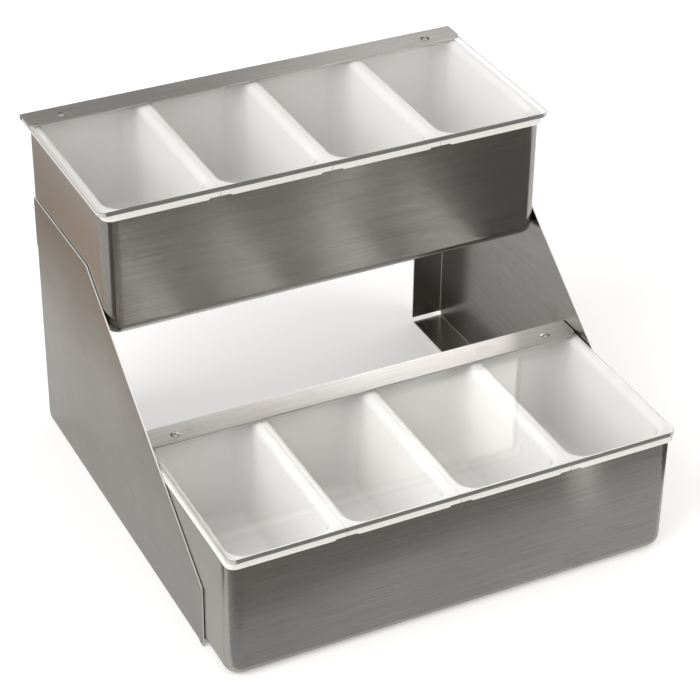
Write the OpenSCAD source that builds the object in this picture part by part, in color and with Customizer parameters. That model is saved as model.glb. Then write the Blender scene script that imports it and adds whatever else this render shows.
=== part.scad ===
// Two-tier condiment caddy with flip lids, in millimetres.
// +Z is up, the front faces -Y and the base stands on z = 0.
// Built with y = 0 at the rear edge of the side panels, then centred.

/* [Pans] */
// Width of each pan, outside
pan_w = 303; // [290:1:320]
// Depth of each pan from front to rear, outside
pan_d = 137.5; // [130:0.5:150]
// Height of each pan's wall
pan_h = 85.2; // [82:0.1:95]
// Thickness of the pan's sheet
pan_t = 1; // [0.8:0.1:1.5]
// Radius of each pan's upright corners, outside
pan_corner_r = 10; // [9:0.5:12]
// Radius of each pan's bottom edge, outside
pan_bottom_r = 8; // [4:0.5:8.5]

/* [Tiers] */
// Height of the upper pan's underside above the base
upper_pan_z = 138; // [134:1:150]
// How far the upper pan stands out behind the side panels
upper_pan_back = 8.8; // [0:0.1:12]
// How far the lower pan stands out in front of the side panels
lower_pan_nose = 37; // [30:1:42]

/* [Side panels] */
// Thickness of the panel's sheet
panel_t = 1; // [0.8:0.1:1.5]
// Depth of a panel at the base
panel_d = 271; // [265:1:280]
// Height of a panel's level top edge
panel_top_z = 174; // [165:1:190]
// Length of a panel's level top edge
panel_top_d = 95; // [80:1:105]
// Height of a panel's upright front edge
panel_front_z = 44.5; // [35:0.5:60]
// Radius of a panel's blunted corners
panel_knee_r = 3; // [1:0.5:5]
// Gap between a pan's side and the panel beside it
side_gap = 1.4; // [1.3:0.1:1.8]
// Width of the flanges bent inward from the panel
flange_w = 24; // [15:1:35]
// Outside radius of the panel's bends
bend_r = 2; // [1.8:0.1:3]
// Height of the rear flange's lower end
flange_lift = 3.5; // [2:0.5:8]
// Distance from the rear edge to the base flange's rear end
base_flange_inset = 2.5; // [2:0.5:8]
// Distance from the front edge to the base flange's front end
base_flange_front = 6; // [2:1:20]
// Diameter of the weld pads between pans and panels
weld_pad_d = 8; // [5:0.5:12]

/* [Inserts] */
// Gap between neighbouring inserts
insert_gap = 0.2; // [0.1:0.1:0.5]
// Depth of an insert, rim to underside
insert_h = 78; // [60:1:80]
// Wall thickness of an insert
insert_t = 1.6; // [1.2:0.1:2.5]
// Height of the insert's rim above the pan's edge
rim_h = 3.2; // [2.5:0.1:5]
// Thickness of the rim's top
rim_t = 1.5; // [1.2:0.1:2]
// Width of the rim around the insert's mouth
rim_land = 5.6; // [4.5:0.1:8]
// Radius of the rim's corners in plan
rim_corner_r = 6.5; // [5:0.5:8]
// Drop of the rim's lips below the pan's edge
lip_drop = 1; // [0.5:0.1:4]
// Thickness of the lip in front of and behind the pan
lip_t = 1.2; // [1:0.1:1.4]
// Thickness of the lip at the insert's sides
side_lip_t = 0.9; // [0.6:0.1:0.9]
// Running gap between a lip and the pan's wall
lip_gap = 0.3; // [0.1:0.1:0.5]
// Gap between the outer side lips and the pan's sides
side_lip_gap = 0.2; // [0.1:0.1:0.3]
// Radius of the tub's upright corners at its foot, outside
tub_corner_r = 10.5; // [10:0.5:16]
// Radius of the tub's bottom edge, outside
tub_bottom_r = 9.5; // [6:0.5:10]
// Draft of each tub wall, foot to rim
tub_draft = 4; // [1:0.5:6]

/* [Lids] */
// Thickness of the clear sheet
sheet_t = 3; // [2:0.5:4]
// Gap between the inserts' rims and a closed sheet
sheet_lift = 0.4; // [0.3:0.1:1]
// How far a sheet stands out in front of the inserts' lips
sheet_nose = 0.5; // [0:0.1:2]
// Radius of the sheet's front corners
sheet_corner_r = 5; // [2:0.5:10]
// How far the upper lid stands out past each side of the pan
upper_lid_over = 4.5; // [3:0.5:6.5]
// Gap between the lower lid and the panels at its sides
lower_lid_gap = 0.7; // [0.4:0.1:2]
// Width of the hinge strip, front to rear
strip_w = 20; // [18:0.5:30]
// Thickness of the strip's sheet
strip_t = 1; // [0.8:0.1:1.2]
// Radius of the strip's front corners
strip_corner_r = 5; // [1:0.5:8]

/* [Rivets] */
// Distance of each rivet outward from the middle of the end insert
rivet_out = 17.5; // [-20:0.5:22]
// Distance of the rivets from the strip's rear edge
rivet_y = 12.8; // [9:0.1:15]
// Diameter of a rivet's domed head
rivet_head_d = 6.2; // [5:0.1:8]
// Height of a rivet's domed head
rivet_head_h = 1.2; // [0.8:0.1:2]
// Diameter of a rivet's shank
rivet_d = 3; // [2.4:0.1:4]
// Diameter of a rivet's tail under the sheet
rivet_tail_d = 5; // [4.5:0.1:6]
// Height of a rivet's tail
rivet_tail_h = 0.8; // [0.5:0.1:1.2]

/* [Hinges] */
// Diameter of the hinge rod
rod_d = 2; // [1.6:0.1:2.4]
// Radial running clearance of the rolled edge on the rod
rod_gap = 0.05; // [0.02:0.01:0.08]
// How far the rod stops short of the lid's sides
rod_inset = 2; // [0:0.5:6]
// Gap between the rolled edge and the inserts' rims
roll_lift = 0.3; // [0.3:0.1:1]
// How far the strip stands out behind the pan
strip_back = 1.8; // [1.4:0.1:3]
// Thickness of a hinge bracket
bracket_t = 1.5; // [1:0.1:2]
// Width of a bracket's foot
foot_w = 14; // [10:1:18]
// Height of a bracket's foot
foot_h = 14; // [10:1:20]
// How far a bracket's ear stands out behind the pan
ear_out = 4; // [3:0.5:6]
// Distance of a bracket's foot below the pan's edge
foot_drop = 4; // [3:0.5:10]
// Gap on each side of a bracket in the rolled edge
slot_gap = 0.5; // [0.3:0.1:1]
// Angle at which the hinge stops a lid
lid_open = 105; // [90:1:115]

/* [Hidden] */
$fn = 48;
eps = 0.01;

function polar(r, a) = [r * cos(a), r * sin(a)];

// Places of the panels and pans, from the panels' rear edge
panel_in_x = pan_w / 2 + side_gap;
panel_out_x = panel_in_x + panel_t;
lower_pan_z = panel_t;
lower_pan_rear = pan_d - lower_pan_nose - panel_d;
upper_pan_rear = upper_pan_back;

// Heights above a pan's underside
rim_top = pan_h + rim_h;
sheet_z = rim_top + sheet_lift;

// The rolled rear edge and its axis, from a pan's rear face and underside
roll_in_r = rod_d / 2 + rod_gap;
roll_r = roll_in_r + strip_t;
strip_top = max(sheet_z + sheet_t + strip_t, rim_top + roll_lift + 2 * roll_r);
axis_z = strip_top - roll_r;
axis_y = strip_back - roll_r;

// Angles in the hinge, counted from the rear toward the top
full_turn = 360;
roll_start = 90;
roll_end = -170;
stop_face = -70;
cradle_span = 130;
stop_play = 4;
slot_end = lid_open + stop_face + stop_play;

// The lids, from a pan's rear face
upper_lid_w = pan_w + 2 * upper_lid_over;
lower_lid_w = 2 * (panel_in_x - lower_lid_gap);
sheet_front = -pan_d - lip_gap - lip_t - sheet_nose;
sheet_rear_gap = 0.4;
sheet_rear = axis_y - roll_r - sheet_rear_gap;
rivet_from_pan = strip_back - rivet_y;

// The inserts fill each pan side by side
insert_n = 4;
insert_span = pan_w + 2 * (side_lip_gap + side_lip_t);
insert_pitch = (insert_span + insert_gap) / insert_n;
rim_w = insert_pitch - insert_gap;
rim_d = pan_d + 2 * (lip_gap + lip_t);
rivet_x = (insert_n - 1) / 2 * insert_pitch + rivet_out;

// The whole part is centred from front to rear
front_y = lower_pan_rear + sheet_front;
rear_y = upper_pan_rear + max(strip_back, ear_out);
center_y = -(front_y + rear_y) / 2;

// ---- Shared shapes ----

// Half profile of a drawn wall: foot radius r, draft, height h and bottom edge radius f
module wall_profile(r, draft, h, f) {
    lean = atan2(draft, h);
    reach = f * (1 - sin(lean)) / cos(lean);
    cx = r + reach * sin(lean) - f * cos(lean);
    touch = [r + reach * sin(lean), reach * cos(lean)];
    polygon([[0, 0], [cx, 0], [cx, f], touch, [r + draft, h], [0, h]]);
    intersection() {
        translate([cx, f]) circle(f);
        translate([cx, 0]) square([f, f]);
    }
}

// Straight side of a drawn tub: its profile run along a length, facing +X
module wall_run(length, r, draft, h, f) {
    translate([0, length / 2, 0])
        rotate([90, 0, 0])
            linear_extrude(length) wall_profile(r, draft, h, f);
}

// Solid drawn tub, centred, with upright corners of radius r at its foot
module drawn_block(w, d, h, r, draft, f) {
    ax = w / 2 - r - draft;
    ay = d / 2 - r - draft;
    translate([-ax, -ay, 0]) cube([2 * ax, 2 * ay, h]);
    for (side = [0, 1]) {
        rotate([0, 0, 180 * side]) translate([ax, 0, 0]) wall_run(2 * ay, r, draft, h, f);
        rotate([0, 0, 90 + 180 * side]) translate([ay, 0, 0]) wall_run(2 * ax, r, draft, h, f);
    }
    for (sx = [0, 1], sy = [0, 1])
        mirror([sx, 0, 0])
            mirror([0, sy, 0])
                translate([ax, ay, 0])
                    rotate_extrude(angle = 90) wall_profile(r, draft, h, f);
}

// Rectangle, centred in x from y = 0, with its two far corners rounded
module tongue(w, d, r) {
    translate([-w / 2, 0]) square([w, d - r]);
    translate([-w / 2 + r, 0]) square([w - 2 * r, d]);
    for (side = [-1, 1])
        translate([side * (w / 2 - r), d - r]) circle(r);
}

// Rectangle centred on the origin with all corners rounded
module rounded_plate(w, d, r) {
    translate([-w / 2, -d / 2 + r]) square([w, d - 2 * r]);
    translate([-w / 2 + r, -d / 2]) square([w - 2 * r, d]);
    for (sx = [-1, 1], sy = [-1, 1])
        translate([sx * (w / 2 - r), sy * (d / 2 - r)]) circle(r);
}

// Places its children on one tier, at that pan's rear face and underside
module on_upper() {
    translate([0, upper_pan_rear + center_y, upper_pan_z]) children();
}

module on_lower() {
    translate([0, lower_pan_rear + center_y, lower_pan_z]) children();
}

// Runs a profile drawn in (y, z) along X, centred
module across(length) {
    translate([-length / 2, 0, 0])
        rotate([90, 0, 90])
            linear_extrude(length) children();
}

// ---- Side panels ----

// Outline in (y, z) with blunted top and front corners
module panel_outline() {
    top_corner = [-panel_top_d, panel_top_z];
    low_corner = [-panel_d, panel_front_z];
    slope = atan2(panel_top_z - panel_front_z, panel_d - panel_top_d);
    cut_top = panel_knee_r * tan(slope / 2);
    cut_low = panel_knee_r * tan((90 - slope) / 2);
    along = [cos(slope), sin(slope)];
    difference() {
        polygon([[0, 0], [0, panel_top_z], top_corner + [cut_top, 0], top_corner - cut_top * along,
                 low_corner + cut_low * along, low_corner - [0, cut_low], [-panel_d, 0]]);
        translate([-bend_r, -eps]) square([bend_r + eps, bend_r + eps]);
    }
    translate(top_corner + [cut_top, -panel_knee_r]) circle(panel_knee_r);
    translate(low_corner + [panel_knee_r, -cut_low]) circle(panel_knee_r);
}

// Flange with its bend: runs from x = 0, bend centre at bend_r, along +Y of the profile
module flange_profile() {
    translate([bend_r, 0]) square([flange_w - bend_r, panel_t]);
    intersection() {
        translate([bend_r, bend_r]) difference() {
            circle(bend_r);
            circle(bend_r - panel_t);
        }
        square([bend_r, bend_r]);
    }
}

// Right-hand panel with its outer face on x = 0 and its body toward -X
module side_panel() {
    rear_flange_h = upper_pan_z - flange_lift;
    base_flange_d = panel_d - base_flange_inset - base_flange_front;
    difference() {
        rotate([90, 0, -90])
            mirror([1, 0, 0])
                linear_extrude(panel_t) panel_outline();
        // The bends take the plate's place along the flanges
        translate([-panel_t - eps, -bend_r, flange_lift])
            cube([panel_t + 2 * eps, bend_r + eps, rear_flange_h]);
        translate([-panel_t - eps, -base_flange_inset - base_flange_d, -eps])
            cube([panel_t + 2 * eps, base_flange_d, bend_r + eps]);
    }
    translate([0, 0, flange_lift])
        linear_extrude(rear_flange_h)
            mirror([1, 0, 0]) mirror([0, 1, 0]) flange_profile();
    translate([0, -base_flange_inset, 0])
        rotate([90, 0, 0])
            linear_extrude(base_flange_d)
                mirror([1, 0, 0]) flange_profile();
}

module right_side_panel() {
    color([0.52, 0.51, 0.49])
        translate([panel_out_x, center_y, 0]) side_panel();
}

module left_side_panel() {
    color([0.52, 0.51, 0.49])
        mirror([1, 0, 0])
            translate([panel_out_x, center_y, 0]) side_panel();
}

// ---- Pans ----

// Open pan with its rear face on y = 0
module pan_shell() {
    translate([0, -pan_d / 2, 0])
        difference() {
            drawn_block(pan_w, pan_d, pan_h, pan_corner_r, 0, pan_bottom_r);
            translate([0, 0, pan_t])
                drawn_block(pan_w - 2 * pan_t, pan_d - 2 * pan_t, pan_h,
                            pan_corner_r - pan_t, 0, pan_bottom_r - pan_t);
        }
}

// Weld pads that bridge the gap to both panels, at the given (y, z) places
module weld_pads(places) {
    for (side = [-1, 1], at = places)
        translate([side * (pan_w / 2 + side_gap / 2), at[0], at[1]])
            rotate([0, 90, 0])
                cylinder(h = side_gap, d = weld_pad_d, center = true);
}

module upper_pan() {
    pad_z = (panel_top_z - upper_pan_z + pan_bottom_r) / 2;
    color([0.66, 0.65, 0.63])
        on_upper() {
            pan_shell();
            weld_pads([for (y = [2 * weld_pad_d, panel_top_d - weld_pad_d])
                       [-y - upper_pan_rear, pad_z]]);
        }
}

module lower_pan() {
    low = pan_bottom_r + weld_pad_d;
    front_pad = pan_d - lower_pan_nose - weld_pad_d - panel_knee_r;
    color([0.66, 0.65, 0.63])
        on_lower() {
            pan_shell();
            weld_pads([[-pan_corner_r - weld_pad_d, low],
                       [-pan_corner_r - weld_pad_d, pan_h - 2 * weld_pad_d],
                       [-front_pad, low]]);
        }
}

// ---- Inserts ----

// One tub with its rim, centred, with the rim's top on z = 0
module insert_tub() {
    mouth_w = rim_w - 2 * rim_land;
    mouth_d = rim_d - 2 * rim_land;
    difference() {
        union() {
            translate([0, 0, -insert_h])
                drawn_block(mouth_w + 2 * insert_t, mouth_d + 2 * insert_t, insert_h - rim_t / 2,
                            tub_corner_r, tub_draft, tub_bottom_r);
            translate([0, 0, -rim_t])
                linear_extrude(rim_t) rounded_plate(rim_w, rim_d, rim_corner_r);
        }
        translate([0, 0, insert_t - insert_h])
            drawn_block(mouth_w, mouth_d, insert_h - insert_t + eps,
                        tub_corner_r - insert_t, tub_draft, tub_bottom_r - insert_t);
    }
    rim_skirt();
    rim_lips();
}

// Skirt around the rim, which stands on the pan's edge where it crosses it
module rim_skirt() {
    translate([0, 0, -rim_h])
        linear_extrude(rim_h - rim_t / 2)
            difference() {
                rounded_plate(rim_w, rim_d, rim_corner_r);
                rounded_plate(rim_w - 2 * side_lip_t, rim_d - 2 * lip_t,
                              rim_corner_r - side_lip_t);
            }
}

// Lips under the skirt's straight sides that hang over the pan's edge
module rim_lips() {
    lip_h = lip_drop + rim_t;
    for (side = [0, 180])
        rotate([0, 0, side])
            translate([0, 0, -rim_h - lip_drop]) {
                translate([rim_corner_r - rim_w / 2, -rim_d / 2, 0])
                    cube([rim_w - 2 * rim_corner_r, lip_t, lip_h]);
                translate([-rim_w / 2, rim_corner_r - rim_d / 2, 0])
                    cube([side_lip_t, rim_d - 2 * rim_corner_r, lip_h]);
            }
}

// Insert number k of a tier, counted from the left
module insert(k) {
    color([0.93, 0.93, 0.9])
        translate([(k - (insert_n + 1) / 2) * insert_pitch, -pan_d / 2, rim_top])
            insert_tub();
}

module upper_insert(k) {
    on_upper() insert(k);
}

module lower_insert(k) {
    on_lower() insert(k);
}

// ---- Hinges ----

// Sector of a disc between two angles, drawn in (y, z) about the hinge axis
module sector(r, a0, a1) {
    steps = ceil((a1 - a0) / 60);
    intersection() {
        circle(r);
        polygon(concat([[0, 0]],
                       [for (i = [0:steps]) polar(3 * r, a0 + (a1 - a0) * i / steps)]));
    }
}

// Outline of a bracket's ear: a cradle under the rod on an arm from the pan's rear wall
module ear_outline() {
    wall = -axis_y;
    out = wall + ear_out;
    arm_in = -rod_d / 2;
    edge = pan_h - axis_z;
    foot_top = edge - foot_drop;
    difference() {
        union() {
            circle(roll_r - rod_gap);
            polygon([[arm_in, -rod_d / 2], [0, -rod_d / 2], [roll_r, edge + rim_t / 2],
                     [out, foot_top], [out, foot_top - foot_h], [wall, foot_top - foot_h],
                     [wall, edge + rim_t / 4], [arm_in, edge + rim_t]]);
        }
        // Room for the rolled edge to turn in, down to the stop face
        sector(roll_r + roll_lift, stop_face, stop_face + full_turn - cradle_span);
        circle(rod_d / 2);
    }
}

// Bracket bent from one piece: a foot on the pan's wall and an ear that holds the rod
module hinge_bracket() {
    translate([0, axis_y, axis_z])
        across(bracket_t) ear_outline();
    translate([0, 0, pan_h - foot_drop - foot_h])
        cube([foot_w - bracket_t / 2, bracket_t, foot_h]);
}

// Repeats its children at each joint between inserts, where the lips leave room
module at_brackets() {
    for (k = [1:insert_n - 1])
        translate([(k - insert_n / 2) * insert_pitch, 0, 0]) children();
}

module hinge_brackets() {
    color([0.6, 0.6, 0.58])
        at_brackets() hinge_bracket();
}

module hinge_rod(lid_w) {
    color([0.75, 0.75, 0.73])
        translate([0, axis_y, axis_z])
            rotate([0, 90, 0])
                cylinder(h = lid_w - 2 * rod_inset, d = rod_d, center = true);
}

// ---- Lids ----

// Cut-out that lets the rolled edge turn past a bracket until the stop
module bracket_slot() {
    far = 2 * roll_r;
    translate([0, axis_y, axis_z])
        across(bracket_t + 2 * slot_gap)
            polygon([[0, 0], polar(far, slot_end), [far, -far], [-far, -far], [-far, 0]]);
}

module lid_strip(lid_w) {
    color([0.7, 0.69, 0.67])
        difference() {
            union() {
                translate([0, axis_y, strip_top - strip_t])
                    linear_extrude(strip_t)
                        mirror([0, 1, 0]) tongue(lid_w, strip_w - roll_r, strip_corner_r);
                translate([0, axis_y, axis_z])
                    across(lid_w)
                        difference() {
                            sector(roll_r, roll_end, roll_start);
                            circle(roll_in_r);
                        }
            }
            at_brackets() bracket_slot();
            rivet_holes();
        }
}

module lid_sheet(lid_w) {
    color([0.9, 0.93, 0.94, 0.35])
        difference() {
            translate([0, sheet_rear, strip_top - strip_t - sheet_t])
                linear_extrude(sheet_t)
                    mirror([0, 1, 0])
                        tongue(lid_w, sheet_rear - sheet_front, sheet_corner_r);
            rivet_holes();
        }
}

// Holes through the strip and the sheet, a slip fit on the rivets
module rivet_holes() {
    for (side = [-1, 1])
        translate([side * rivet_x, rivet_from_pan, 0])
            cylinder(h = 2 * strip_top, d = rivet_d + 2 * rod_gap);
}

module lid_rivets() {
    dome_r = (pow(rivet_head_d / 2, 2) + pow(rivet_head_h, 2)) / (2 * rivet_head_h);
    tail_z = strip_top - strip_t - sheet_t - rivet_tail_h;
    color([0.82, 0.82, 0.8])
        for (side = [-1, 1])
            translate([side * rivet_x, rivet_from_pan, 0]) {
                translate([0, 0, tail_z])
                    cylinder(h = strip_top - tail_z + rivet_head_h / 4, d = rivet_d);
                translate([0, 0, tail_z])
                    cylinder(h = rivet_tail_h, d = rivet_tail_d);
                intersection() {
                    translate([0, 0, strip_top + rivet_head_h - dome_r]) sphere(dome_r);
                    translate([0, 0, strip_top]) cylinder(h = rivet_head_h + eps, d = rivet_head_d);
                }
            }
}

module upper_hinge_brackets() {
    on_upper() hinge_brackets();
}

module lower_hinge_brackets() {
    on_lower() hinge_brackets();
}

module upper_hinge_rod() {
    on_upper() hinge_rod(upper_lid_w);
}

module lower_hinge_rod() {
    on_lower() hinge_rod(lower_lid_w);
}

module upper_lid_strip() {
    on_upper() lid_strip(upper_lid_w);
}

module lower_lid_strip() {
    on_lower() lid_strip(lower_lid_w);
}

module upper_lid_sheet() {
    on_upper() lid_sheet(upper_lid_w);
}

module lower_lid_sheet() {
    on_lower() lid_sheet(lower_lid_w);
}

module upper_lid_rivets() {
    on_upper() lid_rivets();
}

module lower_lid_rivets() {
    on_lower() lid_rivets();
}

left_side_panel();
right_side_panel();
upper_pan();
lower_pan();
upper_insert(1);  // upper_insert_1
upper_insert(2);  // upper_insert_2
upper_insert(3);  // upper_insert_3
upper_insert(4);  // upper_insert_4
lower_insert(1);  // lower_insert_1
lower_insert(2);  // lower_insert_2
lower_insert(3);  // lower_insert_3
lower_insert(4);  // lower_insert_4
upper_hinge_brackets();
upper_hinge_rod();
upper_lid_strip();
upper_lid_sheet();
upper_lid_rivets();
lower_hinge_brackets();
lower_hinge_rod();
lower_lid_strip();
lower_lid_sheet();
lower_lid_rivets();
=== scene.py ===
"""Two-tier condiment caddy with flip lids: its visible pieces, built around the packed frame."""

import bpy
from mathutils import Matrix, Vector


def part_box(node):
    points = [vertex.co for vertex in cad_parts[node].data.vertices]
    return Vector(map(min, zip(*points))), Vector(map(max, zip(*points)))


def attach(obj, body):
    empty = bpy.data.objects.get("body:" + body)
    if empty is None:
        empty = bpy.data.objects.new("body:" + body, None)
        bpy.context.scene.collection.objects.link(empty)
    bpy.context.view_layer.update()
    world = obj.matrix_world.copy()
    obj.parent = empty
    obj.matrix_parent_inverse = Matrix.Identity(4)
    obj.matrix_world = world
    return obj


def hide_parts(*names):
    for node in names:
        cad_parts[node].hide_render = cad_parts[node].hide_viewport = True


bl_info = {
    "name": "Condiment caddy",
    "version": (1, 0, 0),
    "blender": (4, 5, 0),
    "location": "3D View > Sidebar > Caddy",
    "description": "Builds the visible pieces of a two-tier condiment caddy with flip lids",
    "category": "Object",
}

import math
from functools import partial

import bmesh
import bpy
from bpy.props import FloatProperty, FloatVectorProperty, IntProperty, PointerProperty
from mathutils import Matrix, Vector

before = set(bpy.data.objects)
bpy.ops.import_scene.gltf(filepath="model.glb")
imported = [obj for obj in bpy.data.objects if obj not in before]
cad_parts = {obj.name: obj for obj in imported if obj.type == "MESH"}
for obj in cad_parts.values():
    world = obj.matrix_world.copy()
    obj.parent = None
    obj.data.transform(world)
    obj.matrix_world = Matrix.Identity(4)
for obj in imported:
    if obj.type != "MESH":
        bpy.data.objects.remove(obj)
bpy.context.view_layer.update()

TIERS = ("upper", "lower")
ROOT_BODY = "caddy_frame"
INSERTS = 4
PLASTIC_IOR = 1.49
# Smallest radius and rounding, distance of an extra ring from a bend, and weld distance
TINY, BESIDE, WELD = 0.0002, 0.0008, 1e-6


def number(name, description, default, kind=FloatProperty, **limits):
    return kind(name=name, description=description, default=default, **limits)


length = partial(number, min=0, precision=5, unit="LENGTH")
share = partial(number, min=0, max=1, subtype="FACTOR")
colour = partial(number, kind=FloatVectorProperty, min=0, max=1, subtype="COLOR")
angle = partial(number, subtype="ANGLE")


class CaddySteelSettings(bpy.types.PropertyGroup):
    """Sizes and finish of the steel pans, panels and hinges"""

    sheet: length("Sheet", "Thickness of the pans' and panels' steel", 0.001)
    side_gap: length("Side gap", "Gap between a pan and the panel beside it", 0.0014)
    side_ease: length("Side ease", "How much of that gap a pan's welded side takes up", 0.0011)
    pan_corner: length("Pan corner", "Radius of a pan's upright corners", 0.010)
    pan_foot: length("Pan foot", "Radius of a pan's bottom edge", 0.008)
    weld_pad: length("Weld pad", "Diameter of a weld pad", 0.008)
    bend: length("Bend", "Outside radius of a panel's bends", 0.002)
    flange: length("Flange", "Width of a panel's flanges", 0.024)
    knee: length("Knee", "Radius of a panel's blunted corners", 0.003)
    panel_top: length("Panel top", "Length of a panel's level top edge", 0.095)
    panel_nose: length("Panel nose", "Height of a panel's upright front edge", 0.0445)
    flange_lift: length("Flange lift", "Height of the rear flange's lower end", 0.0035)
    base_inset: length("Base inset", "Rear edge to the base flange", 0.0025)
    base_front: length("Base front", "Front edge to the base flange", 0.006)
    edge: length("Edge", "Rounding of a cut edge", 0.00018)
    pan_colour: colour("Pan colour", "Colour of the pans' steel", (0.395, 0.384, 0.368))
    panel_colour: colour("Panel colour", "Colour of the panels' steel", (0.28, 0.2735, 0.263))
    strip_colour: colour("Strip colour", "Colour of the lids' strips", (0.53, 0.523, 0.512))
    cut_colour: colour("Cut colour", "Colour of the panels' cut edges", (0.76, 0.75, 0.73))
    bright_colour: colour("Bright colour", "Colour of rods, brackets and rivets",
                          (0.42, 0.412, 0.40))
    roughness: share("Roughness", "How dull the brushed steel is", 0.225)
    strip_roughness: share("Strip roughness", "How dull the lids' strips are", 0.36)
    grain: share("Grain", "Strength of the brushed lines", 0.42)


class CaddyInsertSettings(bpy.types.PropertyGroup):
    """Sizes and finish of the white inserts"""

    wall: length("Wall", "Thickness of the tub's wall", 0.0016)
    rim_top: length("Rim top", "Thickness of the rim's top", 0.0015)
    rim_height: length("Rim height", "Height of the rim above the pan's edge", 0.0032)
    rim_land: length("Rim land", "Width of the rim around the mouth", 0.0056)
    rim_corner: length("Rim corner", "Radius of the rim's corners over the pan's corners", 0.0065)
    rim_meet: length("Rim meet", "Radius of the rim's corners where two inserts meet", 0.0006)
    lip: length("Lip", "Thickness of the lip in front of the pan", 0.0012)
    side_lip: length("Side lip", "Thickness of the lip at the sides", 0.0009)
    lip_drop: length("Lip drop", "Drop of the lips below the pan's edge", 0.001)
    lip_start: length("Lip start", "Rim corner's end to the start of a lip", 0.0062)
    lip_ramp: length("Lip ramp", "Rim corner's end to where a lip has its full depth", 0.0072)
    rounding: length("Rounding", "Rounding of the rim's outer edge", 0.0002)
    mouth: length("Mouth", "Rounding between the rim and the tub", 0.0042)
    tub_corner: length("Tub corner", "Radius of the tub's upright corners at its foot", 0.0085)
    tub_foot: length("Tub foot", "Radius of the tub's bottom edge", 0.0085)
    draft: length("Draft", "How far a tub wall leans out, foot to rim", 0.004)
    tint: colour("Tint", "Colour of the white plastic", (0.87, 0.866, 0.853))
    roughness: share("Roughness", "How dull the plastic is", 0.08)


class CaddyLidSettings(bpy.types.PropertyGroup):
    """Sizes and finish of the lids and their hinges"""

    sheet_corner: length("Sheet corner", "Radius of the clear sheet's front corners", 0.005)
    sheet_edge: length("Sheet edge", "Rounding of the clear sheet's edges", 0.00035)
    strip: length("Strip", "Thickness of the steel strip", 0.001)
    strip_corner: length("Strip corner", "Radius of the strip's front corners", 0.005)
    roll_gap: length("Roll gap", "Clearance of the rolled edge on its rod", 0.00005)
    bracket: length("Bracket", "Thickness of a hinge bracket", 0.0015)
    bracket_foot: length("Bracket foot", "Width and height of a bracket's foot", 0.014)
    slot_gap: length("Slot gap", "Gap beside a bracket in the rolled edge", 0.0005)
    rivet_head: length("Rivet head", "Diameter of a rivet's head", 0.0062)
    rivet_dome: length("Rivet dome", "Height of a rivet's head", 0.0012)
    rivet_shank: length("Rivet shank", "Diameter of a rivet's shank", 0.003)
    rivet_tail: length("Rivet tail", "Height of a rivet's tail", 0.0008)
    clear: colour("Clear", "Colour that the clear sheet lets through", (0.961, 0.963, 0.966))
    haze: share("Haze", "How dull the clear sheet is", 0.004)
    # Painted light on the clear sheet's sawn edge: the front edge's dark colour is painted shade,
    # and the side edges' light colour is a painted highlight
    cut: colour("Cut edge", "Colour of the clear sheet's front edge", (0.19, 0.192, 0.19))
    side_edge_highlight: colour("Cut end", "Colour of the clear sheet's side edges", (0.68, 0.68, 0.675))


class CaddyStageSettings(bpy.types.PropertyGroup):
    """Floor, light and camera"""

    floor: colour("Floor", "Colour of the floor", (0.78, 0.78, 0.778))
    floor_glow: share("Floor glow", "Lift that brings the floor to white where it is seen", 0.31)
    mirrored: share("Mirrored", "Share of that lift that polished surfaces show", 0.2)
    dome: number("Dome", "Strength of the light overhead", 0.98)
    front: number("Front", "Strength of the room before the object", 0.3)
    rear: number("Rear", "Strength of the room behind the object", 0.15)
    key: number("Key", "Radiance of the soft light on the left", 3.7)
    fill: number("Fill", "Radiance of the soft light on the right", 4.1)
    window: number("Window", "Radiance of the soft light behind", 1.2)
    # Glare and bounce glow in cards that paint reflections, not in lamps
    glare: number("Glare", "Brightness of the window card", 1.0)
    bounce: number("Bounce", "Brightness of the bounce card", 4.4)
    aim: number("Aim", "Point that the camera looks at", (0.00448, 0.0, 0.09842),
                FloatVectorProperty, subtype="XYZ", unit="LENGTH")
    distance: length("Distance", "Camera to the point it looks at", 1.5088)
    azimuth: angle("Azimuth", "Turn of the view from straight ahead", math.radians(26.64))
    elevation: angle("Elevation", "Height of the view above the horizon", math.radians(33.48))
    roll: angle("Roll", "Roll of the camera", math.radians(0.8))
    lens: number("Lens", "Focal length in millimetres", 119.5, unit="CAMERA")


# ---- Meshes ----

def ring(width, depth, radius, z, at, steps=10, hold=0.0006, ramp=0.004, drop=0.0,
         corner_drops=(0, 0, 0, 0)):
    """Rounded rectangle as a closed run of points; its straight sides lie lower by drop.

    The radius is one number or four, for the corners rear right, rear left, front left and
    front right. A corner lies lower by its own share of the drop. Hold and ramp are where
    the drop starts and ends, measured from a corner's end.
    """
    radii = radius if isinstance(radius, tuple) else (radius,) * 4
    points = []
    for k, (r, part) in enumerate(zip(radii, corner_drops)):
        a = k * math.pi / 2
        side = (math.cos(a), math.sin(a))
        nxt = (-side[1], side[0])
        cx = at[0] + (1 if k in (0, 3) else -1) * (width / 2 - r)
        cy = at[1] + (1 if k in (0, 1) else -1) * (depth / 2 - r)
        start = (cx + r * side[0], cy + r * side[1])
        end = (cx + r * nxt[0], cy + r * nxt[1])
        level = z - part * drop
        for back, up in ((ramp, z - drop), (hold, level)):
            points.append((start[0] - nxt[0] * back, start[1] - nxt[1] * back, up))
        for i in range(steps + 1):
            b = a + i * math.pi / 2 / steps
            points.append((cx + r * math.cos(b), cy + r * math.sin(b), level))
        for on, up in ((hold, level), (ramp, z - drop)):
            points.append((end[0] - side[0] * on, end[1] - side[1] * on, up))
    return points


def loft(bm, rings):
    """Closed skin through rings that have the same number of points, flat at both ends."""
    rows = [[bm.verts.new(p) for p in points] for points in rings]
    n = len(rows[0])
    for a, b in zip(rows, rows[1:]):
        for i in range(n):
            j = (i + 1) % n
            bm.faces.new((a[i], a[j], b[j], b[i]))
    bm.faces.new(rows[0][::-1])
    bm.faces.new(rows[-1])


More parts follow.
